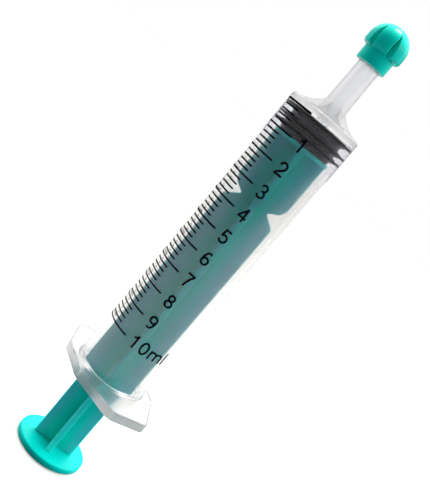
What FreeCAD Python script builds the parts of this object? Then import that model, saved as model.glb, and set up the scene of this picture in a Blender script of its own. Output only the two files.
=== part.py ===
"""Oral syringe, 10 ml: barrel with its cap and printed scale, rubber stopper and plunger rod.

The frame has its origin at the centre of the thumb rest's rear face, +Z along the syringe
towards the nozzle, and -Y towards the side that carries the numbers of the scale.
All sizes are millimetres and degrees, and the driving ones are in the sheet Sizes.
"""
import FreeCAD, Part
import math
import os
import re
import Sketcher

SIZES = {
    # alias: (value, what it is)
    "bore_diameter": (14.7, "inside of the barrel"),
    "barrel_wall": (1.25, "wall of the barrel"),
    "barrel_reach": (72.5, "flange's rear face to the 0 ml plane"),
    "barrel_lift": (21.4, "thumb rest's rear face to the flange's rear face, plunger fully in"),
    "front_wall": (1.6, "thickness of the barrel's closed front"),
    "front_chamfer": (0.5, "chamfer round the barrel's front"),
    "bead_depth": (0.3, "how far the retaining bead stands into the bore"),
    "bead_width": (1.0, "width of the retaining bead"),
    "bead_inset": (1.6, "flange's rear face to the middle of the retaining bead"),
    "mouth_chamfer": (0.3, "chamfer round the bore's mouth"),
    "flange_thickness": (2.2, "finger flange"),
    "flange_side": (10.3, "axis to the flange's widest flank"),
    "flange_shoulder": (5.0, "half length of that flank"),
    "flange_length": (16.2, "axis to the end of an ear"),
    "flange_end": (4.6, "half width of an ear's end"),
    "flange_turn": (-55.0, "direction of an ear, from +X"),
    "flange_round": (1.6, "rounding of the flange's corners"),
    "flange_root": (0.7, "fillet between barrel and flange"),
    "nozzle_length": (20.0, "0 ml plane to the nozzle's tip"),
    "nozzle_tip": (5.0, "diameter of the nozzle's straight front"),
    "nozzle_base": (5.4, "diameter of the nozzle at its root"),
    "nozzle_seat": (9.0, "length of the nozzle's straight front"),
    "nozzle_root": (1.0, "height of the flare at the nozzle's root"),
    "channel_diameter": (2.0, "channel through the nozzle"),
    "gusset_count": (6, "gussets between nozzle and front wall"),
    "gusset_height": (4.3, "0 ml plane to a gusset's top"),
    "gusset_length": (8.0, "axis to a gusset's foot"),
    "gusset_width": (0.7, "thickness of a gusset"),
    "stopper_length": (5.65, "rubber stopper"),
    "stopper_gap": (0.1, "0 ml plane to the stopper's front face, plunger fully in"),
    "seal_gap": (0.02, "sealing ring to bore, on the radius"),
    "seal_land": (0.7, "width of a sealing ring's rubbing land"),
    "seal_slope": (0.35, "length of the slope on each side of a ring"),
    "seal_front": (5.05, "stopper's rear face to the middle of the front ring"),
    "seal_middle": (2.85, "the same for the middle ring"),
    "seal_rear": (1.3, "the same for the rear ring"),
    "waist_diameter": (12.5, "stopper between its rings"),
    "nose_diameter": (14.2, "stopper's front face"),
    "socket_gap": (0.05, "knob to the stopper's socket, all round"),
    "rod_width": (13.3, "across the fins inside the barrel"),
    "rod_thickness": (1.2, "thickness of a fin"),
    "rod_front": (88.1, "thumb rest's rear face to the front disc's front face"),
    "disc_diameter": (13.6, "front disc of the rod"),
    "disc_thickness": (0.9, "front disc of the rod"),
    "neck_diameter": (3.6, "neck of the snap knob"),
    "neck_length": (1.0, "neck of the snap knob"),
    "knob_diameter": (6.4, "snap knob"),
    "knob_land": (0.8, "height of the knob's widest part"),
    "knob_top": (3.8, "diameter of the knob's flat top"),
    "knob_taper": (1.3, "height of the knob's taper"),
    "notch_low": (70.3, "thumb rest's rear face to the notch's rear end"),
    "notch_apex": (72.6, "the same to the notch's deepest point"),
    "notch_high": (75.6, "the same to the notch's front end"),
    "notch_depth": (3.3, "depth of the notch in a fin's edge"),
    "tail_width": (10.1, "across the fins behind the barrel"),
    "tail_length": (21.6, "thumb rest's rear face to the step in the fins"),
    "rod_turn": (6.0, "turn of the rod about the syringe's axis"),
    "thumb_diameter": (17.1, "thumb rest"),
    "thumb_thickness": (1.5, "thumb rest"),
    "thumb_edge": (0.35, "rounding of the thumb rest's edge"),
    "cap_gap": (14.7, "0 ml plane to the cap's rim"),
    "cap_height": (9.4, "cap"),
    "skirt_diameter": (7.0, "skirt of the cap"),
    "skirt_height": (3.1, "skirt of the cap"),
    "head_diameter": (9.0, "head of the cap"),
    "dome_round": (4.1, "rounding of the head's top"),
    "head_round": (0.9, "rounding of the head's lower edge"),
    "cap_fit": (0.03, "nozzle to the cap's socket, on the radius"),
    "cap_end_gap": (0.1, "nozzle's tip to the end of the cap's socket"),
    "flute_count": (6, "grip flutes round the head"),
    "flute_floor": (3.35, "axis to a flute's floor at its lower end"),
    "flute_width": (2.2, "width of a flute at its lower end"),
    "flute_top_width": (0.4, "width of a flute at its upper end"),
    "flute_reach": (4.9, "axis to the flute cutter's outer face"),
    "flute_top": (8.4, "cap's rim to the flute's upper end"),
    "flute_top_floor": (2.9, "axis to a flute's floor at its upper end"),
    "cap_turn": (-71.5, "direction of a flute, from +X"),
    "full_volume": (10, "millilitres at the last long mark"),
    "short_marks": (4, "short marks between two long ones"),
    "mark_width": (0.36, "height of a printed line"),
    "mark_film": (0.04, "thickness of the ink"),
    "mark_stand": (0.01, "ink's inner face to the barrel"),
    "long_mark_start": (174.0, "direction of a long mark's far end, from +X"),
    "long_mark_span": (78.0, "angle that a long mark covers"),
    "short_mark_start": (197.0, "direction of a short mark's far end, from +X"),
    "short_mark_span": (36.5, "angle that a short mark covers"),
}

doc = FreeCAD.newDocument("OralSyringe")


def make_sheet():
    """One row for each driving dimension: its name, its value and what it is."""
    sheet = doc.addObject("Spreadsheet::Sheet", "Sizes")
    for row, (alias, (value, meaning)) in enumerate(SIZES.items(), start=1):
        sheet.set("A%d" % row, alias)
        sheet.set("B%d" % row, str(value))
        sheet.set("C%d" % row, meaning)
        sheet.setAlias("B%d" % row, alias)
    doc.recompute()
    return sheet


def size(alias):
    """A driving dimension's value, read from the sheet."""
    return float(sheet.get(alias))


def linked(text):
    """The expression with every alias turned into a reference to the sheet."""
    words = re.split(r"([a-z_]+)", text)
    return "".join("Sizes." + word if word in SIZES else word for word in words)


def bind(target, **properties):
    """Bind properties to expressions of aliases."""
    for name, text in properties.items():
        target.setExpression(name, linked(text))


def turned_slightly():
    """A placement with a rotation about Z, so that an expression can set the angle of that rotation."""
    return FreeCAD.Placement(FreeCAD.Vector(), FreeCAD.Rotation(FreeCAD.Vector(0, 0, 1), 1))


def place(target, lift="0", turn="0"):
    """Stand a sub-part at a height on the syringe's axis, turned about that axis."""
    target.Placement = turned_slightly()
    target.setExpression("Placement.Base.z", linked(lift))
    target.setExpression("Placement.Rotation.Angle", linked(turn))


def make_body(label, lift="0", turn="0"):
    body = doc.addObject("PartDesign::Body", label)
    body.Label = label
    place(body, lift, turn)
    return body


def origin_feature(body, role):
    return next(feature for feature in body.Origin.OriginFeatures if feature.Role == role)


def reverse(text):
    """The expression with its sign changed."""
    return text[1:] if text.startswith("-") else "-" + text


def new_sketch(body, name, role, lift="0", turn="0"):
    """An empty sketch on an origin plane, lifted along and turned about the plane's normal."""
    sketch = body.newObject("Sketcher::SketchObject", name)
    sketch.AttachmentSupport = (origin_feature(body, role), [""])
    sketch.MapMode = "FlatFace"
    sketch.AttachmentOffset = turned_slightly()
    sketch.setExpression("AttachmentOffset.Base.z", linked(lift))
    sketch.setExpression("AttachmentOffset.Rotation.Angle", linked(turn))
    return sketch


def add_outline(sketch, corners):
    """A closed outline of straight edges. Each corner is a pair of expressions of aliases."""
    count = len(corners)
    first = sketch.GeometryCount
    around = [2 * math.pi * step / count for step in range(count)]
    start = [FreeCAD.Vector(20 + 10 * math.cos(angle), 20 + 10 * math.sin(angle), 0) for angle in around]
    for step in range(count):
        sketch.addGeometry(Part.LineSegment(start[step], start[(step + 1) % count]), False)
    for step in range(count):
        edge, following = first + step, first + (step + 1) % count
        sketch.addConstraint(Sketcher.Constraint("Coincident", edge, 2, following, 1))
    for step, corner in enumerate(corners):
        point = start[step]
        for kind, text, value in (("DistanceX", corner[0], point.x), ("DistanceY", corner[1], point.y)):
            if text == "0":
                axis = -2 if kind == "DistanceX" else -1
                sketch.addConstraint(Sketcher.Constraint("PointOnObject", first + step, 1, axis))
            else:
                index = sketch.addConstraint(Sketcher.Constraint(kind, -1, 1, first + step, 1, value))
                sketch.setExpression("Constraints[%d]" % index, linked(text))


def add_circle(sketch, diameter):
    """A circle round the sketch's origin."""
    index = sketch.addGeometry(Part.Circle(FreeCAD.Vector(), FreeCAD.Vector(0, 0, 1), 5), False)
    sketch.addConstraint(Sketcher.Constraint("Coincident", index, 3, -1, 1))
    datum = sketch.addConstraint(Sketcher.Constraint("Diameter", index, 10))
    sketch.setExpression("Constraints[%d]" % datum, linked(diameter))


def revolve(body, name, corners):
    """A full turn of an outline of (radius, height) corners about the body's Z axis."""
    sketch = new_sketch(body, name + "Sketch", "XZ_Plane")
    add_outline(sketch, corners)
    turned = body.newObject("PartDesign::Revolution", name)
    turned.Profile = sketch
    turned.ReferenceAxis = (sketch, ["V_Axis"])
    turned.Angle = 360
    doc.recompute()
    return turned


def repeat_around(body, name, feature, count):
    """The feature repeated evenly round the body's Z axis."""
    pattern = body.newObject("PartDesign::PolarPattern", name)
    pattern.Originals = [feature]
    pattern.Axis = (origin_feature(body, "Z_Axis"), [""])
    pattern.Angle = 360
    bind(pattern, Occurrences=count)
    body.Tip = pattern
    doc.recompute()
    return pattern


def circles_at(feature, radius, height):
    """The feature's circular edges of that radius round Z at that height, in the body's frame."""
    names = []
    for index, edge in enumerate(feature.Shape.Edges, start=1):
        curve = edge.Curve
        if isinstance(curve, Part.Circle) and abs(curve.Radius - radius) < 0.01:
            if abs(curve.Center.z - height) < 0.01:
                names.append("Edge%d" % index)
    return names


def upright_edges(feature, beyond, height):
    """The feature's straight edges along Z, of that height, that stand outside a radius."""
    names = []
    for index, edge in enumerate(feature.Shape.Edges, start=1):
        low, high = edge.BoundBox.ZMin, edge.BoundBox.ZMax
        centre = edge.CenterOfMass
        straight = isinstance(edge.Curve, Part.Line) and abs(high - low - height) < 0.01
        if straight and math.hypot(centre.x, centre.y) > beyond + 0.1:
            names.append("Edge%d" % index)
    return names


def dress(body, kind, name, feature, edges, amount):
    """A fillet or chamfer on named edges of the feature."""
    dressed = body.newObject("PartDesign::" + kind, name)
    dressed.Base = (feature, edges)
    bind(dressed, **{"Radius" if kind == "Fillet" else "Size": amount})
    doc.recompute()
    return dressed


def make_barrel():
    """Tube with closed front, nozzle and gussets, finger flange, and a bead that holds the stopper in."""
    body = make_body("barrel", lift="barrel_lift")
    outside = "bore_diameter / 2 + barrel_wall"
    inside = "bore_diameter / 2"
    channel = "channel_diameter / 2"
    front = "barrel_reach + front_wall"
    tip = "barrel_reach + nozzle_length"
    tube = revolve(body, "Tube", [
        (inside, "mouth_chamfer"),
        ("bore_diameter / 2 + mouth_chamfer", "0"),
        (outside, "0"),
        (outside, front + " - front_chamfer"),
        (outside + " - front_chamfer", front),
        ("nozzle_base / 2 + nozzle_root", front),
        ("nozzle_base / 2", front + " + nozzle_root"),
        ("nozzle_tip / 2", tip + " - nozzle_seat"),
        ("nozzle_tip / 2", tip),
        (channel, tip),
        (channel, "barrel_reach"),
        (inside, "barrel_reach"),
        (inside, "bead_inset + bead_width"),
        (inside + " - bead_depth", "bead_inset + bead_width / 4"),
        (inside + " - bead_depth", "bead_inset - bead_width / 4"),
        (inside, "bead_inset - bead_width"),
    ])
    flange_sketch = new_sketch(body, "FlangeSketch", "XY_Plane", turn="flange_turn")
    quarter = [("flange_length", "flange_end"), ("flange_shoulder", "flange_side")]
    half = quarter + [("-" + along, across) for along, across in reversed(quarter)]
    add_outline(flange_sketch, half + [(reverse(along), "-" + across) for along, across in half])
    add_circle(flange_sketch, "bore_diameter + barrel_wall")
    flange = body.newObject("PartDesign::Pad", "Flange")
    flange.Profile = flange_sketch
    bind(flange, Length="flange_thickness")
    doc.recompute()
    wall_face = size("bore_diameter") / 2 + size("barrel_wall")
    corners = upright_edges(flange, wall_face, size("flange_thickness"))
    rounded = dress(body, "Fillet", "FlangeCorners", flange, corners, "flange_round")
    root = circles_at(rounded, size("bore_diameter") / 2 + size("barrel_wall"), size("flange_thickness"))
    dress(body, "Fillet", "FlangeRoot", rounded, root, "flange_root")
    rib_sketch = new_sketch(body, "GussetSketch", "XZ_Plane")
    add_outline(rib_sketch, [
        (channel + " + barrel_wall / 2", "barrel_reach + front_wall / 2"),
        ("gusset_length", "barrel_reach + front_wall / 2"),
        ("gusset_length", front + " + mark_width"),
        ("nozzle_base / 2", "barrel_reach + gusset_height"),
        (channel + " + barrel_wall / 2", "barrel_reach + gusset_height"),
    ])
    rib = body.newObject("PartDesign::Pad", "Gusset")
    rib.Profile = rib_sketch
    rib.Midplane = True
    bind(rib, Length="gusset_width")
    doc.recompute()
    repeat_around(body, "Gussets", rib, "gusset_count")
    return body


def make_plunger_rod():
    """Four fins with a notch in each edge, between the thumb rest and the front disc with its snap knob."""
    body = make_body("plunger_rod", turn="rod_turn")
    top = "rod_front + neck_length + knob_land"
    front = revolve(body, "FrontEnd", [
        ("0", "rod_front - disc_thickness"),
        ("disc_diameter / 2", "rod_front - disc_thickness"),
        ("disc_diameter / 2", "rod_front"),
        ("neck_diameter / 2", "rod_front"),
        ("neck_diameter / 2", "rod_front + neck_length"),
        ("knob_diameter / 2", "rod_front + neck_length"),
        ("knob_diameter / 2", top),
        ("knob_top / 2", top + " + knob_taper"),
        ("0", top + " + knob_taper"),
    ])
    fin_sketch = new_sketch(body, "FinSketch", "XZ_Plane")
    add_outline(fin_sketch, [
        ("0", "thumb_thickness / 2"),
        ("tail_width / 2", "thumb_thickness / 2"),
        ("tail_width / 2", "tail_length"),
        ("rod_width / 2", "tail_length"),
        ("rod_width / 2", "notch_low"),
        ("rod_width / 2 - notch_depth", "notch_apex"),
        ("rod_width / 2", "notch_high"),
        ("rod_width / 2", "rod_front - disc_thickness / 2"),
        ("0", "rod_front - disc_thickness / 2"),
    ])
    fin = body.newObject("PartDesign::Pad", "Fin")
    fin.Profile = fin_sketch
    fin.Midplane = True
    bind(fin, Length="rod_thickness")
    doc.recompute()
    repeat_around(body, "Fins", fin, "4")
    thumb = revolve(body, "ThumbRest", [
        ("0", "0"),
        ("thumb_diameter / 2", "0"),
        ("thumb_diameter / 2", "thumb_thickness"),
        ("0", "thumb_thickness"),
    ])
    rim = circles_at(thumb, size("thumb_diameter") / 2, 0)
    rim += circles_at(thumb, size("thumb_diameter") / 2, size("thumb_thickness"))
    dress(body, "Fillet", "ThumbEdge", thumb, rim, "thumb_edge")
    return body


def make_stopper():
    """Rubber stopper with three sealing rings and a socket that snaps over the rod's knob."""
    lift = "barrel_lift + barrel_reach - stopper_gap - stopper_length"
    body = make_body("stopper", lift=lift)
    land = "bore_diameter / 2 - seal_gap"
    waist = "waist_diameter / 2"
    corners = [("neck_diameter / 2 + socket_gap", "0"), (waist, "0")]
    for ring in ("seal_rear", "seal_middle", "seal_front"):
        corners += [
            (waist, ring + " - seal_land / 2 - seal_slope"),
            (land, ring + " - seal_land / 2"),
            (land, ring + " + seal_land / 2"),
        ]
        if ring != "seal_front":
            corners.append((waist, ring + " + seal_land / 2 + seal_slope"))
    corners += [("nose_diameter / 2", "stopper_length"), ("0", "stopper_length")]
    depth = "neck_length + knob_land + knob_taper"
    corners += [
        ("0", depth + " + socket_gap"),
        ("knob_top / 2 + socket_gap", depth + " + socket_gap"),
        ("knob_diameter / 2 + socket_gap", "neck_length + knob_land + socket_gap"),
        ("knob_diameter / 2 + socket_gap", "neck_length - 2 * socket_gap"),
        ("neck_diameter / 2 + socket_gap", "neck_length - 2 * socket_gap"),
    ]
    revolve(body, "Rubber", corners)
    return body


def make_tip_cap():
    """Push-on cap: a skirt round the nozzle under a domed head with tapering grip flutes."""
    body = make_body("tip_cap", lift="barrel_lift + barrel_reach + cap_gap", turn="cap_turn")
    socket = "nozzle_tip / 2 + cap_fit"
    depth = "nozzle_length - cap_gap + cap_end_gap"
    shell = revolve(body, "Shell", [
        (socket, "0"),
        ("skirt_diameter / 2", "0"),
        ("skirt_diameter / 2", "skirt_height"),
        ("head_diameter / 2", "skirt_height"),
        ("head_diameter / 2", "cap_height"),
        ("0", "cap_height"),
        ("0", depth),
        (socket, depth),
    ])
    top = circles_at(shell, size("head_diameter") / 2, size("cap_height"))
    dome = dress(body, "Fillet", "Dome", shell, top, "dome_round")
    edge = circles_at(dome, size("head_diameter") / 2, size("skirt_height"))
    dress(body, "Fillet", "HeadEdge", dome, edge, "head_round")
    ends = []
    for name, lift, floor, width in (
            ("FluteLow", "skirt_height", "flute_floor", "flute_width"),
            ("FluteHigh", "flute_top", "flute_top_floor", "flute_top_width")):
        end = new_sketch(body, name, "XY_Plane", lift=lift)
        half = width + " / 2"
        add_outline(end, [(floor, "0"), ("flute_reach", half), ("flute_reach", "-" + half)])
        ends.append(end)
    doc.recompute()
    flute = body.newObject("PartDesign::SubtractiveLoft", "Flute")
    flute.Profile = ends[0]
    flute.Sections = [ends[1]]
    flute.Ruled = True
    doc.recompute()
    repeat_around(body, "Flutes", flute, "flute_count")
    return body


def make_scale():
    """Lines of ink round the barrel, one for each fifth of a millilitre and a longer one for each whole."""
    outside = "bore_diameter / 2 + barrel_wall + mark_stand"
    millilitre = "1000 / (pi * (bore_diameter / 2)^2)"
    per_unit = int(size("short_marks")) + 1
    wedges = []
    for mark in range(int(size("full_volume")) * per_unit + 1):
        length = "short" if mark % per_unit else "long"
        wedge = doc.addObject("Part::Cylinder", "Mark")
        bind(wedge, Radius=outside + " + mark_film", Height="mark_width", Angle=length + "_mark_span")
        drop = "%d * %s / (short_marks + 1) + mark_width / 2" % (mark, millilitre)
        place(wedge, lift="barrel_lift + barrel_reach - (%s)" % drop, turn=length + "_mark_start")
        wedges.append(wedge)
    lines = doc.addObject("Part::Compound", "Wedges")
    lines.Links = wedges
    core = doc.addObject("Part::Cylinder", "BarrelOutside")
    bind(core, Radius=outside, Height="barrel_lift + 2 * barrel_reach")
    scale = doc.addObject("Part::Cut", "scale_lines")
    scale.Label = "scale_lines"
    scale.Base = lines
    scale.Tool = core
    doc.recompute()
    return scale


def check(parts):
    """Stop if any object failed to recompute or any sub-part has no sound shape."""
    for item in doc.Objects:
        if "Invalid" in item.State or "Error" in item.State:
            raise RuntimeError("%s failed: %s" % (item.Name, item.State))
    for part in parts:
        if part.Shape.isNull() or not part.Shape.isValid():
            raise RuntimeError("%s has no sound shape" % part.Label)


def export(parts):
    os.makedirs("parts", exist_ok=True)
    for part in parts:
        part.Shape.exportStep(os.path.join("parts", part.Label + ".step"))
        box = part.Shape.BoundBox
        print("%-14s %2d solids %9.2f mm3  z %.2f to %.2f" % (
            part.Label, len(part.Shape.Solids), part.Shape.Volume, box.ZMin, box.ZMax))


sheet = make_sheet()
sub_parts = [make_barrel(), make_plunger_rod(), make_stopper(), make_tip_cap(), make_scale()]
doc.recompute()
check(sub_parts)
export(sub_parts)
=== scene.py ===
"""Oral syringe: the looks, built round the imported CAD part.

Sizes are millimetres and angles degrees; meshes are made in metres. The syringe stands on its
thumb rest, +Z towards the nozzle, and the numbers of its scale face -Y.
"""
import math

import bmesh
import bpy
from mathutils import Matrix, Vector


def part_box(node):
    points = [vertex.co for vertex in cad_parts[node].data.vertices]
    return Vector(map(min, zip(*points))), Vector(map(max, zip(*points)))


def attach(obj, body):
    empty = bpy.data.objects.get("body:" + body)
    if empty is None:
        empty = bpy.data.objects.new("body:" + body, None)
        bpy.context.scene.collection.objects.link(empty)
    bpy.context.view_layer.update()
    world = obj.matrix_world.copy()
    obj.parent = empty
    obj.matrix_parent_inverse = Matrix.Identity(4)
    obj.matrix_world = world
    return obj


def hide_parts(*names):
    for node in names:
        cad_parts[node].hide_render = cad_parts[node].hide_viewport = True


MM = 0.001

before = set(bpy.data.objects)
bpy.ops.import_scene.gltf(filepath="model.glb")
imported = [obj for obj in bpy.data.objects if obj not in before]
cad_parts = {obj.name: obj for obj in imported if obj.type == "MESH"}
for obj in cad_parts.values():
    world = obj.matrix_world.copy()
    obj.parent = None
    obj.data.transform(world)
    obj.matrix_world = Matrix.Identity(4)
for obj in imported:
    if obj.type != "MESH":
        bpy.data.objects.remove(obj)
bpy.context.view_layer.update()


def box_mm(node):
    """A CAD node's lowest and highest corners in millimetres."""
    return [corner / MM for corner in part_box(node)]


barrel_low, barrel_high = box_mm("barrel")
stopper_low, stopper_high = box_mm("stopper")
rod_high = box_mm("plunger_rod")[1]
cap_low, cap_high = box_mm("tip_cap")

# The barrel.
SEAL_GAP = 0.02
STOPPER_GAP = 0.1
BARREL_WALL = 1.25
BORE = stopper_high.x + SEAL_GAP
OUTSIDE = BORE + BARREL_WALL
ZERO = stopper_high.z + STOPPER_GAP
FLANGE_REAR = barrel_low.z
NOZZLE_TIP = barrel_high.z
MILLILITRE = 1000 / (math.pi * BORE ** 2)

FLANGE_THICKNESS = 2.2
FLANGE_TURN = -55.0
FLANGE_SIDE = 10.3
FLANGE_SHOULDER = 5.0
FLANGE_LENGTH = 16.2
FLANGE_END = 4.6
FLANGE_ROUND = 1.6
FLANGE_EDGE = 0.3
FLANGE_ROOT = 0.5
FLANGE_FRONT = FLANGE_REAR + FLANGE_THICKNESS

FRONT_WALL = 1.6
WALL_TOP = ZERO + FRONT_WALL
NOZZLE_BASE = 2.7
NOZZLE_STRAIGHT = 2.5
NOZZLE_SEAT = 9.0
CHANNEL = 1.0
BEAD_HEIGHT = 0.3
BEAD_LEVELS = (0.7, 1.35, 1.85, 2.6)
BARREL_COLUMNS = 360

GUSSET_COUNT = 6
GUSSET_THICKNESS = 0.7
GUSSET_HEIGHT = 4.5
GUSSET_LENGTH = 8.1
GUSSET_EDGE = 0.12
GUSSET_BEND = 2.2

# The rod.
ROD_TURN = 6.0
ROD_HALF = 6.65
TAIL_HALF = 5.05
TAIL_LENGTH = FLANGE_REAR + 0.2
FIN_THICKNESS = 1.2
FIN_EDGE = 0.1
NOTCH_START = 17.8
NOTCH_BOTTOM = 15.5
NOTCH_SHOULDER = 14.1
NOTCH_END = 12.5
NOTCH_DEPTH = 3.3
SHOULDER_DEPTH = 0.9
DISC_RADIUS = 6.8
DISC_THICKNESS = 0.9
NECK_RADIUS = 1.8
NECK_LENGTH = 1.0
KNOB_RADIUS = 3.2
KNOB_LAND = 0.8
KNOB_TAPER = 1.3
KNOB_TOP = 1.9
ROD_FRONT = rod_high.z - NECK_LENGTH - KNOB_LAND - KNOB_TAPER
THUMB_RADIUS = rod_high.x
THUMB_THICKNESS = 1.5

# The stopper.
STOPPER_WAIST = 6.25
SEAL_RINGS = (1.3, 2.85, 5.05)
SEAL_PRESS = 0.01
SEAL_FOOT = 0.7
SEAL_LAND = 0.32
STOPPER_FACE = 7.1
SOCKET_SLACK = 0.05

# The cap.
CAP_TURN = -71.5
SKIRT_RADIUS = 3.5
SKIRT_HEIGHT = 3.1
SOCKET_RADIUS = 2.53
SOCKET_DEPTH = NOZZLE_TIP - cap_low.z + 0.1
HEAD_RADIUS = 4.5
FLUTES = 6
FLUTE_CUTTER = 4.9
FLUTE_FLOOR = 3.55
FLUTE_RISE = 0.75
FLUTE_WIDTH = 2.3
FLUTE_NARROWING = 2.0
FLUTE_LEAST = 0.3
FLUTE_SLIT = math.radians(0.6)
FLUTE_EASE = math.radians(1.4)
FLANK_BELLY = 0.55

# The print.
INK_LOW = OUTSIDE + 0.004
INK_HIGH = OUTSIDE + 0.034
MARKS = 51
LINE_WIDTH = 0.36
LONG_LINE = (-96.0, -18.0)
SHORT_LINE = (-73.0, -36.5)
LETTER_HEIGHT = 3.15
LETTER_WIDTH = 0.66
STROKE = 0.135


# ---------------------------------------------------------------- outlines

def rounded(corners, steps=6):
    """The points of a closed outline. A corner is (x, y) or (x, y, radius of its rounding)."""
    points = []
    for index, corner in enumerate(corners):
        here = Vector(corner[:2])
        if len(corner) == 2:
            points.append(here)
            continue
        radius = corner[2]
        back = (Vector(corners[index - 1][:2]) - here).normalized()
        ahead = (Vector(corners[(index + 1) % len(corners)][:2]) - here).normalized()
        half = back.angle(ahead) / 2
        centre = here + (back + ahead).normalized() * (radius / math.sin(half))
        first = here + back * (radius / math.tan(half)) - centre
        last = here + ahead * (radius / math.tan(half)) - centre
        sweep = first.angle_signed(last)
        for step in range(steps + 1):
            turn = Matrix.Rotation(-sweep * step / steps, 2)
            points.append(centre + turn @ first)
    return points


def reach(outline, angle):
    """How far a closed outline round the origin lies from it in one direction."""
    ray = Vector((math.cos(angle), math.sin(angle)))
    for start, end in zip(outline, outline[1:] + outline[:1]):
        edge = end - start
        across = ray.x * edge.y - ray.y * edge.x
        if abs(across) < 1e-12:
            continue
        distance = (start.x * edge.y - start.y * edge.x) / across
        along = (start.x * ray.y - start.y * ray.x) / across
        if distance > 0 and -1e-9 <= along <= 1 + 1e-9:
            return distance
    raise ValueError("the outline isn't closed round the origin")


# ---------------------------------------------------------------- meshes

def add_object(name, data):
    """A new object in the scene."""
    made = bpy.data.objects.new(name, data)
    bpy.context.scene.collection.objects.link(made)
    return made


def finish_mesh(name, mesh, material, body, replaced, crease=32):
    """Make the mesh an object, smooth between its sharp edges, that stands for a CAD node."""
    builder = bmesh.new()
    builder.from_mesh(mesh)
    bmesh.ops.remove_doubles(builder, verts=builder.verts, dist=1e-7)
    bmesh.ops.dissolve_degenerate(builder, edges=builder.edges, dist=1e-7)
    bmesh.ops.recalc_face_normals(builder, faces=builder.faces)
    builder.to_mesh(mesh)
    builder.free()
    mesh.shade_smooth()
    mesh.set_sharp_from_angle(angle=math.radians(crease))
    piece = add_object(name, mesh)
    weighted = piece.modifiers.new("even_normals", "WEIGHTED_NORMAL")
    weighted.keep_sharp = True
    mesh.materials.clear()
    mesh.materials.append(material)
    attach(piece, body)
    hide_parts(replaced)


def mesh_of(name, points, faces):
    """A mesh in metres from points in millimetres."""
    mesh = bpy.data.meshes.new(name)
    mesh.from_pydata([Vector(point) * MM for point in points], [], faces)
    mesh.validate()
    return mesh


def skin(name, rows, closed):
    """A mesh through rings of points.

    A ring of one point is a pole. Closed joins the last ring to the first.
    """
    points, starts = [], []
    for row in rows:
        starts.append(len(points))
        points.extend(row)
    pairs = list(zip(range(len(rows)), range(1, len(rows))))
    if closed:
        pairs.append((len(rows) - 1, 0))
    faces = []
    for low, high in pairs:
        count = max(len(rows[low]), len(rows[high]))
        for index in range(count):
            after = (index + 1) % count
            corners = []
            if len(rows[low]) == 1:
                corners.append(starts[low])
            else:
                corners += [starts[low] + index, starts[low] + after]
            if len(rows[high]) == 1:
                corners.append(starts[high])
            else:
                corners += [starts[high] + after, starts[high] + index]
            if len(corners) > 2:
                faces.append(corners)
    return mesh_of(name, points, faces)


def close_ends(mesh, count):
    """Fill the first and the last ring of an open skin whose rings have count points."""
    builder = bmesh.new()
    builder.from_mesh(mesh)
    builder.verts.ensure_lookup_table()
    last = len(builder.verts) - count
    for start in (0, last):
        builder.faces.new([builder.verts[start + index] for index in range(count)])
    bmesh.ops.recalc_face_normals(builder, faces=builder.faces)
    builder.to_mesh(mesh)
    builder.free()


def ring(radius, height, columns):
    """A ring of points. The radius is a number or a function of the angle."""
    if radius == 0:
        return [(0, 0, height)]
    row = []
    for column in range(columns):
        angle = 2 * math.pi * column / columns
        distance = radius(angle) if callable(radius) else radius
        row.append((distance * math.cos(angle), distance * math.sin(angle), height))
    return row


def lathe(name, corners, columns):
    """A solid of an outline of (radius, height) corners, from axis to axis, turned about Z."""
    rows = [ring(point.x, point.y, columns) for point in rounded(corners)]
    return skin(name, rows, False)


def plate(name, outline, thickness, edge, turn):
    """A mesh of a flat plate in the plane of Z and the direction turn, with eased edges."""
    count = len(outline)
    area = sum(a.x * b.y - b.x * a.y for a, b in zip(outline, outline[1:] + outline[:1]))
    side_of = 1 if area > 0 else -1
    inward = []
    for index in range(count):
        along = (outline[(index + 1) % count] - outline[index - 1]).normalized()
        inward.append(Vector((-along.y, along.x)) * side_of)
    half = thickness / 2
    layers = []
    for side, inset in ((-half, edge), (edge - half, 0), (half - edge, 0), (half, edge)):
        layers.append([(here.x + shift.x * inset, side, here.y + shift.y * inset)
                       for here, shift in zip(outline, inward)])
    mesh = skin(name, layers, False)
    close_ends(mesh, count)
    mesh.transform(Matrix.Rotation(math.radians(turn), 4, "Z"))
    return mesh


def joined(name, meshes):
    """One mesh of several solids."""
    objects = [add_object(name, mesh) for mesh in meshes]
    for tool in objects[1:]:
        boolean = objects[0].modifiers.new("join", "BOOLEAN")
        boolean.object = tool
        boolean.operation = "UNION"
        boolean.solver = "EXACT"
    depsgraph = bpy.context.evaluated_depsgraph_get()
    result = bpy.data.meshes.new_from_object(objects[0].evaluated_get(depsgraph))
    result.name = name
    for item in objects:
        bpy.data.objects.remove(item)
    return result


# ---------------------------------------------------------------- node trees

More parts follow.
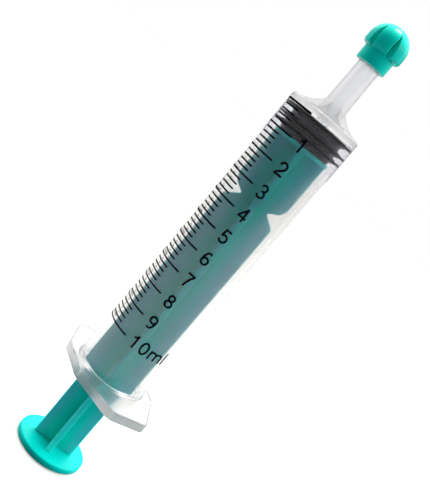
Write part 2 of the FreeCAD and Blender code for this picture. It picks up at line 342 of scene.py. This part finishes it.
class NodeKit:
    """Short ways to add nodes. A value is a number, a tuple or another node's output."""

    def __init__(self, tree):
        self.tree = tree
        tree.nodes.clear()

    def feed(self, entry, value):
        """Set an input, or link it."""
        if isinstance(value, bpy.types.NodeSocket):
            self.tree.links.new(value, entry)
        else:
            entry.default_value = value

    def node(self, kind, entries=None, **settings):
        """A new node. Entries are its inputs by name or number, and settings its properties."""
        made = self.tree.nodes.new("ShaderNode" + kind)
        for key, value in settings.items():
            setattr(made, key, value)
        for entry, value in (entries or {}).items():
            self.feed(made.inputs[entry], value)
        return made

    def sum_of(self, operation, *values):
        """A Math node's result."""
        return self.node("Math", dict(enumerate(values)), operation=operation).outputs[0]

    def spread(self, value, span, to=(0.0, 1.0), smooth=False):
        """The value carried from one span to another, and held at its ends."""
        entries = {"Value": value, "From Min": span[0], "From Max": span[1],
                   "To Min": to[0], "To Max": to[1]}
        kind = "SMOOTHSTEP" if smooth else "LINEAR"
        return self.node("MapRange", entries, interpolation_type=kind).outputs["Result"]

    def noise(self, place, scale, detail):
        """Soft noise about 0.5."""
        entries = {"Vector": place, "Scale": scale, "Detail": detail}
        return self.node("TexNoise", entries).outputs["Fac"]

    def ramp(self, value, stops, interpolation="LINEAR"):
        """A colour ramp of two (position, colour) stops."""
        made = self.node("ValToRGB", {"Fac": value})
        made.color_ramp.interpolation = interpolation
        for element, (position, colour) in zip(made.color_ramp.elements, stops):
            element.position = position
            element.color = (*colour, 1)
        return made.outputs["Color"]

    def mix(self, share, first, second):
        """A colour between two colours."""
        first, second = [(*colour, 1) if isinstance(colour, tuple) else colour
                         for colour in (first, second)]
        return self.node("Mix", {0: share, 6: first, 7: second}, data_type="RGBA").outputs[2]

    def split(self, vector):
        """The X, Y and Z of a vector, by name."""
        return self.node("SeparateXYZ", {"Vector": vector}).outputs

    def from_axis(self, place):
        """How far a place lies from the Z axis, in metres."""
        flat = self.node("VectorMath", {0: place, 1: (1, 1, 0)}, operation="MULTIPLY")
        return self.node("VectorMath", {0: flat.outputs[0]}, operation="LENGTH").outputs["Value"]

    def show(self, shader, kind="OutputMaterial"):
        """Make a shader the tree's surface."""
        self.node(kind, {"Surface": shader.outputs[0]})


def new_material(name):
    """A material with an empty node tree, and its node kit."""
    material = bpy.data.materials.new(name)
    material.use_nodes = True
    return material, NodeKit(material.node_tree)


def in_metres(*sizes):
    """Millimetres as metres, which is what the nodes' coordinates are in."""
    return [size * MM for size in sizes]


# ---------------------------------------------------------------- materials

TEAL_BASE = (0.0005, 0.77, 0.725)
TEAL_DEEP = (0.0005, 0.72, 0.685)
# Painted highlight colour for the fins' outer edges, standing in for light that catches them.
TEAL_PAINTED_HIGHLIGHT = (0.02, 1.0, 0.97)
# Painted greyish reflection colour, stronger toward the fins' outer parts.
TEAL_PAINTED_SHEEN = (0.10, 0.69, 0.79)
CAP_BASE = (0.0005, 0.76, 0.66)
CAP_DEEP = (0.0005, 0.70, 0.61)
RUBBER_BASE = (0.024, 0.024, 0.0235)
RUBBER_DEEP = (0.019, 0.019, 0.0185)
INK_BASE = (0.003, 0.005, 0.008)
INK_DEEP = (0.002, 0.003, 0.005)
CLEAR_BASE = (0.955, 0.964, 0.992, 1)

DRIFT_SCALE = 140.0
DRIFT_SPAN = (0.35, 0.65)
SMUDGE_SCALE = 420.0
GRAIN_SCALE = 4200.0
GRAIN_DEPTH = 0.00002
GLOSSIER = 0.05
DULLER = 0.07
PLASTIC_IOR = 1.5
GLOW_REACH = (0.3, 1.2, 1.1)
GLOW_SCALE = 0.0012
# Width, blur and noise patchiness of the painted highlight along the fins' edges.
HIGHLIGHT_WIDTH = 0.22
HIGHLIGHT_BLUR = 0.2
HIGHLIGHT_PATCHINESS = (0.6, 1.0)
# Radii over which the painted greyish reflection grows on the fins.
SHEEN_SPAN = (1.5, 5.0)
ABOVE_THUMB = (THUMB_THICKNESS + 0.1) * MM

CLEAR_IOR = 1.49
CLEAR_POLISH = (0.075, 0.10)
CLEAR_CLOUD = (0.8, 1.2)
FLOW_SCALE = 160.0
EDGE_BLEND = 0.30
WALL_MILK = (0.010, 0.11)
FRONT_MILK = 0.05
NOZZLE_MILK = 0.01
FLANGE_MILK = 0.03
FRONT_FROST = 0.27
FLANGE_FROST = 0.15
RIM_FROST = 0.42
RIM_START = (OUTSIDE + 0.7) * MM
RIM_SLOPE = (0.95, 0.5)


def fin_colours(kit, place, plain, gloss_and_highlight_noise):
    """The rod's colour with painted light: a painted greyish reflection that grows away from its middle, and
    a painted highlight along the fins' outer edges.
    """
    radius = kit.from_axis(place)
    height = kit.split(place)["Z"]
    on_fins = kit.sum_of("GREATER_THAN", height, ABOVE_THUMB)
    in_barrel = kit.sum_of("GREATER_THAN", height, TAIL_LENGTH * MM)
    start = kit.spread(in_barrel, (0.0, 1.0), in_metres(TAIL_HALF - HIGHLIGHT_WIDTH, ROD_HALF - HIGHLIGHT_WIDTH))
    beyond = kit.sum_of("SUBTRACT", radius, start)
    # A painted highlight band along the fins' outer edges, made patchy by noise.
    edge = kit.sum_of("MULTIPLY", kit.spread(beyond, (0.0, HIGHLIGHT_BLUR * MM), smooth=True), on_fins)
    highlight_share = kit.sum_of("MULTIPLY", edge, kit.spread(gloss_and_highlight_noise, (0.0, 1.0), HIGHLIGHT_PATCHINESS))
    # A painted greyish reflection that grows away from the rod's middle.
    sheen_share = kit.spread(radius, in_metres(*SHEEN_SPAN), smooth=True)
    sheened = kit.mix(kit.sum_of("MULTIPLY", sheen_share, on_fins), plain, TEAL_PAINTED_SHEEN)
    return kit.mix(highlight_share, sheened, TEAL_PAINTED_HIGHLIGHT)


def moulded(name, base, deep, roughness, grain, shine, glow=0.0, paint=None):
    """Moulded plastic or rubber: slow colour drift, faint flow grain and uneven gloss.

    Glow is the share of light that goes on under the surface. Paint changes the colour by place.
    """
    material, kit = new_material(name)
    place = kit.node("TexCoord").outputs["Object"]
    colour = kit.ramp(kit.noise(place, DRIFT_SCALE, 3.0), list(zip(DRIFT_SPAN, (deep, base))))
    gloss_and_highlight_noise = kit.noise(place, SMUDGE_SCALE, 4.0)
    if paint:
        colour = paint(kit, place, colour, gloss_and_highlight_noise)
    fine = kit.noise(place, GRAIN_SCALE, 2.0)
    bump = kit.node("Bump", {"Height": fine, "Strength": grain, "Distance": GRAIN_DEPTH})
    surface = kit.node("BsdfPrincipled", {
        "Base Color": colour,
        "Roughness": kit.spread(gloss_and_highlight_noise, (0.0, 1.0), (roughness - GLOSSIER, roughness + DULLER)),
        "Normal": bump.outputs["Normal"],
        "IOR": PLASTIC_IOR,
        "Specular IOR Level": shine,
        "Subsurface Weight": glow,
        "Subsurface Radius": GLOW_REACH,
        "Subsurface Scale": GLOW_SCALE,
    })
    kit.show(surface)
    return material


def clear_plastic(name):
    """Clear polypropylene, milkier at grazing angles and softer where it is thick.

    The front is all above the 0 ml plane, and the rear is the finger flange with its rim.
    """
    material, kit = new_material(name)
    coordinates = kit.node("TexCoord").outputs
    place = coordinates["Object"]
    height = kit.split(place)["Z"]
    flow = kit.noise(place, FLOW_SCALE, 3.0)
    facing = kit.node("LayerWeight", {"Blend": EDGE_BLEND}).outputs["Facing"]

    front = kit.spread(height, in_metres(ZERO - 0.3, ZERO + 0.8), smooth=True)
    nozzle = kit.spread(height, in_metres(ZERO + 3.0, ZERO + 7.0), smooth=True)
    rear = kit.spread(height, in_metres(FLANGE_FRONT + 0.8, FLANGE_FRONT - 0.1), smooth=True)
    slope = kit.sum_of("ABSOLUTE", kit.split(coordinates["Normal"])["Z"])
    outer = kit.sum_of("GREATER_THAN", kit.from_axis(place), RIM_START)
    rim = kit.sum_of("MULTIPLY", kit.spread(slope, RIM_SLOPE, smooth=True), outer)

    front_milk = kit.sum_of("MULTIPLY", front, FRONT_MILK)
    lost_milk = kit.sum_of("MULTIPLY", nozzle, FRONT_MILK - NOZZLE_MILK)
    nose_milk = kit.sum_of("SUBTRACT", front_milk, lost_milk)
    thick_milk = kit.sum_of("MAXIMUM", nose_milk, kit.sum_of("MULTIPLY", rear, FLANGE_MILK))
    milk = kit.sum_of("ADD", kit.spread(facing, (0.0, 1.0), WALL_MILK), thick_milk)
    clouded = kit.sum_of("MULTIPLY", milk, kit.spread(flow, (0.0, 1.0), CLEAR_CLOUD))

    rear_most = kit.spread(rim, (0.0, 1.0), (FLANGE_FROST, RIM_FROST))
    rear_frost = kit.sum_of("MULTIPLY", rear, rear_most)
    frost = kit.sum_of("MAXIMUM", kit.sum_of("MULTIPLY", front, FRONT_FROST), rear_frost)
    polish = kit.spread(flow, (0.0, 1.0), CLEAR_POLISH)
    surface = kit.node("BsdfPrincipled", {
        "Base Color": CLEAR_BASE,
        "IOR": CLEAR_IOR,
        "Transmission Weight": kit.sum_of("SUBTRACT", 1.0, clouded),
        "Roughness": kit.sum_of("ADD", polish, frost),
    })
    kit.show(surface)
    return material


ROD_TEAL = moulded("rod_teal", TEAL_BASE, TEAL_DEEP, 0.40, 0.10, 0.05, 0.5, fin_colours)
CAP_TEAL = moulded("cap_teal", CAP_BASE, CAP_DEEP, 0.24, 0.10, 0.12, 0.15)
RUBBER = moulded("black_rubber", RUBBER_BASE, RUBBER_DEEP, 0.45, 0.2, 0.25)
INK = moulded("black_ink", INK_BASE, INK_DEEP, 0.9, 0.2, 0.02)
CLEAR = clear_plastic("clear_plastic")


# ---------------------------------------------------------------- the syringe

def flange_rows():
    """The (radius, height) rows of the flange's rim, from its rear face to its front face."""
    side = [(FLANGE_LENGTH, FLANGE_END), (FLANGE_SHOULDER, FLANGE_SIDE)]
    half = side + [(-along, across) for along, across in reversed(side)]
    whole = half + [(-along, -across) for along, across in half]
    ears = rounded([(*corner, FLANGE_ROUND) for corner in whole], 8)
    turn = math.radians(FLANGE_TURN)

    def ear(inset):
        return lambda angle: reach(ears, angle - turn) - inset

    steps = 6
    bends = [math.pi / 2 * step / steps for step in range(steps + 1)]
    rear = [(ear(FLANGE_EDGE * (1 - math.sin(bend))), FLANGE_REAR + FLANGE_EDGE * (1 - math.cos(bend)))
            for bend in bends]
    front = [(ear(FLANGE_EDGE * (1 - math.cos(bend))), FLANGE_FRONT - FLANGE_EDGE * (1 - math.sin(bend)))
             for bend in bends]
    return rear + front


def tube_rows():
    """The (radius, height) rows of the tube: up its outside and the nozzle, and down inside."""
    bead = BORE - BEAD_HEIGHT
    foot, start, end, head = [FLANGE_REAR + level for level in BEAD_LEVELS]
    points = rounded([
        (OUTSIDE + 0.6, FLANGE_FRONT),
        (OUTSIDE, FLANGE_FRONT, FLANGE_ROOT),
        (OUTSIDE, WALL_TOP, 0.5),
        (NOZZLE_BASE, WALL_TOP, 0.9),
        (NOZZLE_STRAIGHT, NOZZLE_TIP - NOZZLE_SEAT),
        (NOZZLE_STRAIGHT, NOZZLE_TIP, 0.3),
        (CHANNEL, NOZZLE_TIP, 0.15),
        (CHANNEL, ZERO, 0.25),
        (BORE, ZERO, 0.35),
        (BORE, head, 0.4),
        (bead, end, 0.2),
        (bead, start, 0.2),
        (BORE, foot, 0.2),
        (BORE, FLANGE_REAR, 0.25),
        (BORE + 0.6, FLANGE_REAR),
    ])
    return [(point.x, point.y) for point in points]


def gusset_outline():
    """A gusset's curved top edge and the foot that sits in the front wall."""
    top = NOZZLE_BASE - 0.1
    low = WALL_TOP + 0.2
    rise = GUSSET_HEIGHT - FRONT_WALL - 0.2
    steps = 12
    shares = [step / steps for step in range(steps + 1)]
    curve = [(GUSSET_LENGTH + (top - GUSSET_LENGTH) * share, low + rise * share ** GUSSET_BEND)
             for share in shares]
    root = CHANNEL + 0.8
    foot = ZERO + 0.8
    corners = [(root, ZERO + GUSSET_HEIGHT), (root, foot), (GUSSET_LENGTH, foot)]
    return [Vector(point) for point in curve + corners]


def make_barrel():
    """Barrel, finger flange, front wall and nozzle as one skin, with six gussets joined to it."""
    rows = [ring(radius, height, BARREL_COLUMNS) for radius, height in flange_rows() + tube_rows()]
    tube = skin("barrel_skin", rows, True)
    outline = gusset_outline()
    gussets = [plate("gusset", outline, GUSSET_THICKNESS, GUSSET_EDGE, index * 360 / GUSSET_COUNT)
               for index in range(GUSSET_COUNT)]
    whole = joined("barrel_shell", [tube] + gussets)
    finish_mesh("barrel_shell", whole, CLEAR, "barrel", "barrel")


def make_rod():
    """Two crossed plates with notched edges, front disc with its snap knob, and thumb rest."""
    side = [
        (TAIL_HALF, 0.5), (TAIL_HALF, TAIL_LENGTH, 0.2), (ROD_HALF, TAIL_LENGTH, 0.3),
        (ROD_HALF, ROD_FRONT - NOTCH_START, 0.9), (ROD_HALF - NOTCH_DEPTH, ROD_FRONT - NOTCH_BOTTOM, 0.3),
        (ROD_HALF - SHOULDER_DEPTH, ROD_FRONT - NOTCH_SHOULDER, 1.0),
        (ROD_HALF, ROD_FRONT - NOTCH_END, 1.0), (ROD_HALF, ROD_FRONT - 0.4),
    ]
    other = [(-corner[0], *corner[1:]) for corner in reversed(side)]
    outline = rounded(side + other)
    plates = [plate("fins", outline, FIN_THICKNESS, FIN_EDGE, ROD_TURN + turn) for turn in (0, 90)]
    neck_top = ROD_FRONT + NECK_LENGTH
    land_top = neck_top + KNOB_LAND
    front = lathe("front_end", [
        (0, ROD_FRONT - DISC_THICKNESS), (DISC_RADIUS, ROD_FRONT - DISC_THICKNESS, 0.2),
        (DISC_RADIUS, ROD_FRONT, 0.2), (NECK_RADIUS, ROD_FRONT, 0.15),
        (NECK_RADIUS, neck_top, 0.1), (KNOB_RADIUS, neck_top, 0.15),
        (KNOB_RADIUS, land_top, 0.3), (KNOB_TOP, land_top + KNOB_TAPER, 0.3), (0, land_top + KNOB_TAPER),
    ], 144)
    thumb = lathe("thumb_rest", [
        (0, 0), (THUMB_RADIUS, 0, 0.4), (THUMB_RADIUS, THUMB_THICKNESS, 0.4), (0, THUMB_THICKNESS),
    ], 192)
    whole = joined("plunger", [*plates, front, thumb])
    finish_mesh("plunger", whole, ROD_TEAL, "plunger", "plunger_rod")


def make_stopper():
    """Rubber stopper with three sealing rings and the socket that holds the rod's knob."""
    rear = stopper_low.z
    valley = STOPPER_WAIST + 0.05
    land = BORE + SEAL_PRESS
    corners = [(NECK_RADIUS + SOCKET_SLACK, rear), (STOPPER_WAIST, rear, 0.25)]
    for middle in SEAL_RINGS:
        level = rear + middle
        corners += [(valley, level - SEAL_FOOT, 0.2), (land, level - SEAL_LAND, 0.16),
                    (land, level + SEAL_LAND, 0.16)]
        if middle != SEAL_RINGS[-1]:
            corners.append((valley, level + SEAL_FOOT, 0.2))
    land_top = rear + NECK_LENGTH + KNOB_LAND + SOCKET_SLACK
    socket_top = land_top + KNOB_TAPER
    lip = rear + NECK_LENGTH - 0.1
    corners += [
        (STOPPER_FACE, stopper_high.z, 0.1), (0, stopper_high.z), (0, socket_top),
        (KNOB_TOP + SOCKET_SLACK, socket_top), (KNOB_RADIUS + SOCKET_SLACK, land_top),
        (KNOB_RADIUS + SOCKET_SLACK, lip), (NECK_RADIUS + SOCKET_SLACK, lip),
    ]
    outline = rounded(corners)
    first = next(index for index, point in enumerate(outline) if point.x == 0)
    ordered = outline[first + 1:] + outline[:first + 1]
    mesh = skin("stopper_rubber", [ring(point.x, point.y, 192) for point in ordered], False)
    finish_mesh("stopper_rubber", mesh, RUBBER, "stopper", "stopper")


def flute_edge(surface, floor, width):
    """Angle from a flute's middle to where its flank meets the head's surface."""
    run = FLUTE_CUTTER - floor
    rise = width / 2
    a = run * run + rise * rise
    b = 2 * floor * run
    c = floor * floor - surface * surface
    share = (math.sqrt(b * b - 4 * a * c) - b) / (2 * a)
    return max(math.atan2(rise * share, floor + run * share), FLUTE_SLIT)


def half_flute(surface, floor, edge, fluted):
    """The (angle, radius) spots from a flute's middle to halfway to the next flute."""
    deepest = floor if fluted else surface
    flank_end = surface - (0.05 if fluted else 0)
    end = Vector((flank_end * math.cos(edge), flank_end * math.sin(edge)))
    belly = Vector((deepest, 0)).lerp(end, FLANK_BELLY)
    spots = [(0.0, deepest), (math.atan2(belly.y, belly.x), belly.length), (edge, flank_end)]
    start = edge + FLUTE_EASE
    run = math.pi / FLUTES - start
    return spots + [(start + run * step / 8, surface) for step in range(9)]


def make_cap():
    """Tip cap: skirt, and a domed head with six tapering V-shaped flutes."""
    rim = cap_low.z
    top = cap_high.z
    underside = rim + SKIRT_HEIGHT
    outline = rounded([
        (0, rim + SOCKET_DEPTH), (SOCKET_RADIUS, rim + SOCKET_DEPTH, 0.2), (SOCKET_RADIUS, rim, 0.12),
        (SKIRT_RADIUS, rim, 0.15), (SKIRT_RADIUS, underside, 0.12), (HEAD_RADIUS, underside, 0.85),
        (HEAD_RADIUS, top, 4.2), (0, top),
    ], 12)
    rows = []
    for point in outline:
        if point.x == 0:
            rows.append([(0, 0, point.y)])
            continue
        share = max((point.y - underside) / (top - 1.0 - underside), 0)
        floor = FLUTE_FLOOR - FLUTE_RISE * share
        width = max(FLUTE_WIDTH - FLUTE_NARROWING * share, FLUTE_LEAST)
        on_head = point.y >= underside - 1e-6 and point.x > SKIRT_RADIUS + 0.05
        fluted = on_head and point.x > floor + 0.02
        edge = flute_edge(point.x, floor, width) if fluted else FLUTE_SLIT
        flank = half_flute(point.x, floor, edge, fluted)
        mirrored = [(-angle, radius) for angle, radius in reversed(flank[1:-1])]
        row = []
        for flute in range(FLUTES):
            middle = math.radians(CAP_TURN) + 2 * math.pi * flute / FLUTES
            row += [(radius * math.cos(middle + angle), radius * math.sin(middle + angle), point.y)
                    for angle, radius in mirrored + flank]
        rows.append(row)
    mesh = skin("tip_cap_fluted", rows, False)
    finish_mesh("tip_cap_fluted", mesh, CAP_TEAL, "cap", "tip_cap", crease=24)


# ---------------------------------------------------------------- the printed scale

def wrapped(across, up, stand):
    """A point of the flat artwork laid on the barrel, across from the side that faces -Y."""
    angle = across / OUTSIDE - math.pi / 2
    return (stand * math.cos(angle), stand * math.sin(angle), up)


def scale_lines():
    """Points and faces of the graduation lines."""
    points, faces = [], []
    for mark in range(MARKS):
        long_mark = mark % 5 == 0
        first, last = LONG_LINE if long_mark else SHORT_LINE
        level = ZERO - MILLILITRE * mark / 5
        half = LINE_WIDTH / 2 * (1.25 if mark == 0 else 1)
        steps = 32 if long_mark else 16
        base = len(points)
        for step in range(steps + 1):
            across = math.radians(first + (last - first) * step / steps) * OUTSIDE
            for up, stand in ((-half, INK_LOW), (half, INK_LOW), (half, INK_HIGH), (-half, INK_HIGH)):
                points.append(wrapped(across, level + up, stand))
        for step in range(steps):
            start = base + 4 * step
            for side in range(4):
                after = (side + 1) % 4
                faces.append((start + side, start + after, start + 4 + after, start + 4 + side))
        faces.append((base + 3, base + 2, base + 1, base))
        end = base + 4 * steps
        faces.append((end, end + 1, end + 2, end + 3))
    return points, faces


def bow(centre, radii, first, last, steps=20):
    """Points along an elliptical arc, with angles in degrees from +X."""
    spread = [math.radians(first + (last - first) * step / steps) for step in range(steps + 1)]
    return [(centre[0] + radii[0] * math.cos(angle), centre[1] + radii[1] * math.sin(angle))
            for angle in spread]


def turned(line):
    """A stroke of a six turned half round, for the nine."""
    return [(LETTER_WIDTH - x, 1 - y) for x, y in line]


def glyph_strokes(letter):
    """Centre lines of a plain numeral or letter, one unit high, and whether each is a loop."""
    low = STROKE / 2
    high = 1 - STROKE / 2
    bowl = bow((0.335, 0.305), (0.235, 0.238), 0, 342, 36)
    stem = bow((0.385, 0.37), (0.285, 0.563), 176, 62, 18)
    strokes = {
        "0": [(bow((0.33, 0.5), (0.245, 0.433), 0, 350, 36), True)],
        "1": [([(0.37, 0.0), (0.37, 1.0)], False),
              ([(0.10, 0.755), (0.20, 0.765), (0.29, 0.81), (0.345, 0.885), (0.365, 0.985)], False)],
        "2": [(bow((0.325, 0.675), (0.235, 0.258), 178, -28, 24)
               + [(0.42, 0.42), (0.22, 0.26), (0.13, 0.17), (0.085, low)], False),
              ([(0.02, low), (0.62, low)], False)],
        "3": [(bow((0.31, 0.715), (0.20, 0.218), 165, -70, 22) + [(0.27, 0.505)], False),
              ([(0.24, 0.53)] + bow((0.315, 0.29), (0.24, 0.223), 84, -166, 26), False)],
        "4": [([(0.455, 0.0), (0.455, 0.985)], False), ([(0.47, 0.955), (0.06, 0.30)], False),
              ([(0.015, 0.295), (0.645, 0.295)], False)],
        "5": [([(0.585, high), (0.155, high)], False), ([(0.185, 0.96), (0.115, 0.475)], False),
              (bow((0.315, 0.325), (0.25, 0.258), 148, -162, 30), False)],
        "6": [(bowl, True), (stem, False)],
        "7": [([(0.04, high), (0.62, high)], False),
              ([(0.60, 0.955), (0.44, 0.70), (0.33, 0.42), (0.275, 0.20), (0.25, 0.0)], False)],
        "8": [(bow((0.33, 0.73), (0.195, 0.203), 0, 348, 30), True),
              (bow((0.33, 0.285), (0.24, 0.218), 0, 348, 30), True)],
        "9": [(turned(bowl), True), (turned(stem), False)],
        "m": [([(0.07, 0.0), (0.07, 0.69)], False),
              (bow((0.30, 0.44), (0.23, 0.19), 168, 0, 14) + [(0.53, 0.0)], False),
              (bow((0.77, 0.44), (0.23, 0.19), 168, 0, 14) + [(1.00, 0.0)], False)],
        "l": [([(0.07, 0.0), (0.07, 1.0)], False)],
    }
    return strokes[letter]


def ribbon(line, loop):
    """A flat solid along a centre line, in glyph units: one stroke of the pen."""
    count = len(line)
    rows = []
    for index in range(count):
        before = line[index - 1] if index or loop else line[index]
        after = line[(index + 1) % count] if index < count - 1 or loop else line[index]
        along = Vector((after[0] - before[0], after[1] - before[1])).normalized()
        off = Vector((-along.y, along.x)) * STROKE / 2
        left = Vector(line[index]) + off
        right = Vector(line[index]) - off
        rows.append([(left.x, 0, left.y), (right.x, 0, right.y), (right.x, 1, right.y), (left.x, 1, left.y)])
    mesh = skin("stroke", rows, loop)
    if not loop:
        close_ends(mesh, 4)
    return mesh


def glyph(letter, left, level):
    """Points and faces of one letter laid on the barrel, its left edge and middle height given."""
    meshes = [ribbon(line, loop) for line, loop in glyph_strokes(letter)]
    mesh = joined("glyph", meshes) if len(meshes) > 1 else meshes[0]
    builder = bmesh.new()
    builder.from_mesh(mesh)
    cut_gap = 0.06 * MM
    for cut in range(1, 18):
        everything = builder.verts[:] + builder.edges[:] + builder.faces[:]
        bmesh.ops.bisect_plane(builder, geom=everything, plane_co=(cut_gap * cut, 0, 0), plane_no=(1, 0, 0))
    builder.verts.index_update()
    points = []
    for vertex in builder.verts:
        spot = vertex.co / MM
        stand = INK_HIGH if spot.y < 0.5 else INK_LOW
        points.append(wrapped(left + spot.x * LETTER_HEIGHT, level + (spot.z - 0.5) * LETTER_HEIGHT, stand))
    faces = [[vertex.index for vertex in face.verts] for face in builder.faces]
    builder.free()
    return points, faces


def make_scale():
    """The printed scale: the graduation lines, the numbers 1 to 10 and the unit."""
    parts = [scale_lines()]
    numeral_left = -0.15 - LETTER_WIDTH * LETTER_HEIGHT / 2
    for number in range(1, 10):
        parts.append(glyph(str(number), numeral_left, ZERO - MILLILITRE * number))
    last_level = ZERO - MILLILITRE * 10 + 0.35
    for letter, left in (("1", -1.37), ("0", 1.11), ("m", 3.66), ("l", 7.49)):
        parts.append(glyph(letter, left, last_level))
    points, faces = [], []
    for part_points, part_faces in parts:
        base = len(points)
        points += part_points
        faces += [[base + index for index in face] for face in part_faces]
    mesh = mesh_of("printed_scale", points, faces)
    finish_mesh("printed_scale", mesh, INK, "barrel", "scale_lines", crease=40)


# ---------------------------------------------------------------- floor, light and camera

FLOOR_SIDE = 3.0
FLOOR_SEEN = (0.94, 0.94, 1.0)
FLOOR_BOUNCE = (0.13, 0.16, 0.205)
FLOOR_FAR = (0.17, 0.165, 0.18)
FLOOR_NEAR = (0.58, 0.565, 0.62)
FLOOR_SPAN = (-0.70, -0.10)

CEILING = 2.8
CEILING_SPAN = (0.05, 0.45)
AROUND_SPAN = (0.31, 0.66)
AROUND_LEAST = 0.05
INSIDE_REFLECTION = 0.80
GLOSS_DIMMING = 0.6
SKY_LOW = (0.82, 0.91, 1.0)
SKY_HIGH = (1.0, 1.0, 0.80)
SKY_SPAN = (0.0, 0.4)
SKY_MIRRORED = (0.97, 0.95, 1.0)
WHITE = (1.0, 1.0, 1.0)
GREYS = ((0.0, 0.0, 0.0), WHITE)

LAMP_TARGET = (0, 0, 0.06)


def make_floor():
    """A plain pale floor that rides with the stopper, so that it stays under the thumb rest."""
    material, kit = new_material("floor")
    seen = kit.node("LightPath").outputs
    undiffused = kit.sum_of("LESS_THAN", seen["Diffuse Depth"], 0.5)
    along = kit.split(kit.node("TexCoord").outputs["Object"])["Y"]
    mirrored = kit.mix(kit.spread(along, FLOOR_SPAN, smooth=True), FLOOR_FAR, FLOOR_NEAR)
    shown = kit.mix(seen["Is Camera Ray"], mirrored, FLOOR_SEEN)
    kit.show(kit.node("BsdfDiffuse", {"Color": kit.mix(undiffused, FLOOR_BOUNCE, shown)}))
    side = FLOOR_SIDE
    mesh = bpy.data.meshes.new("floor")
    corners = [(-side, -side, 0), (side, -side, 0), (side, side, 0), (-side, side, 0)]
    mesh.from_pydata(corners, [], [(0, 1, 2, 3)])
    mesh.materials.append(material)
    floor = add_object("floor", mesh)
    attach(floor, "stopper")


def make_world():
    """A bright soft ceiling, white surroundings behind, and a dim side at -Y.

    Straight and refracted views of it are white. Mirrored views inside clear plastic are nearly so.
    """
    world = bpy.data.worlds.new("studio")
    bpy.context.scene.world = world
    world.use_nodes = True
    kit = NodeKit(world.node_tree)
    direction = kit.split(kit.node("TexCoord").outputs["Generated"])
    seen = kit.node("LightPath").outputs

    ceiling = kit.ramp(direction["Z"], list(zip(CEILING_SPAN, GREYS)), "EASE")
    dim = (AROUND_LEAST,) * 3
    half = kit.spread(direction["Y"], (-1.0, 1.0))
    around = kit.ramp(half, list(zip(AROUND_SPAN, (dim, WHITE))), "EASE")
    lifted = kit.sum_of("MULTIPLY_ADD", ceiling, CEILING, 1.0)
    lit = kit.sum_of("MULTIPLY", lifted, around)
    gloss = kit.sum_of("MULTIPLY_ADD", seen["Is Glossy Ray"], -GLOSS_DIMMING, 1.0)
    studio = kit.sum_of("MULTIPLY", lit, gloss)

    bounces = kit.sum_of("ADD", seen["Diffuse Depth"], seen["Glossy Depth"])
    direct = kit.sum_of("LESS_THAN", bounces, 0.5)
    undiffused = kit.sum_of("LESS_THAN", seen["Diffuse Depth"], 0.5)
    through = kit.sum_of("GREATER_THAN", seen["Transmission Depth"], 0.5)
    behind = kit.sum_of("MULTIPLY", direct, through)
    straight = kit.sum_of("MAXIMUM", seen["Is Camera Ray"], behind)
    inside = kit.sum_of("MULTIPLY", through, undiffused)
    white = kit.sum_of("MAXIMUM", straight, kit.sum_of("MULTIPLY", inside, INSIDE_REFLECTION))
    strength = kit.node("Mix", {0: white, 2: studio, 3: 1.0}).outputs[0]

    sky = kit.ramp(direction["Z"], list(zip(SKY_SPAN, (SKY_LOW, SKY_HIGH))))
    tint = kit.mix(straight, kit.mix(undiffused, sky, SKY_MIRRORED), WHITE)
    kit.show(kit.node("Background", {"Color": tint, "Strength": strength}), "OutputWorld")


def area_light(name, place, width, power, colour):
    """A soft square lamp that points at the syringe's middle, in metres."""
    lamp = bpy.data.lights.new(name, "AREA")
    lamp.shape = "SQUARE"
    lamp.size = width
    lamp.energy = power
    lamp.color = colour
    light = add_object(name, lamp)
    light.location = place
    aim = Vector(LAMP_TARGET) - Vector(place)
    light.rotation_euler = aim.to_track_quat("-Z", "Y").to_euler()


def make_camera():
    """Close to the barrel, level with the stopper, tipped down and rolled over. In metres."""
    distance = 0.1604
    below_zero = 0.00404
    pitch = math.radians(-10.70)
    roll = math.radians(40.17)
    ahead = Vector((0, math.cos(pitch), math.sin(pitch)))
    right = Vector((1, 0, 0))
    up = right.cross(ahead)
    tilted_right = right * math.cos(roll) + up * math.sin(roll)
    tilted_up = up * math.cos(roll) - right * math.sin(roll)
    data = bpy.data.cameras.new("camera")
    data.sensor_width = 36
    data.lens = 55.23
    data.clip_start = 0.01
    data.clip_end = 20
    camera = add_object("camera", data)
    axes = Matrix((tilted_right, tilted_up, -ahead)).transposed().to_4x4()
    axes.translation = Vector((0, -distance, ZERO * MM - below_zero))
    camera.matrix_world = axes
    bpy.context.scene.camera = camera


make_barrel()
make_rod()
make_stopper()
make_cap()
make_scale()
make_floor()
make_world()
area_light("right_light", (0.6, -0.25, 0.45), 0.3, 1.3, WHITE)
area_light("top_light", (0, 0.06, 0.36), 0.08, 0.8, (1, 1, 0.85))
make_camera()
bpy.context.scene.view_settings.view_transform = "Standard"
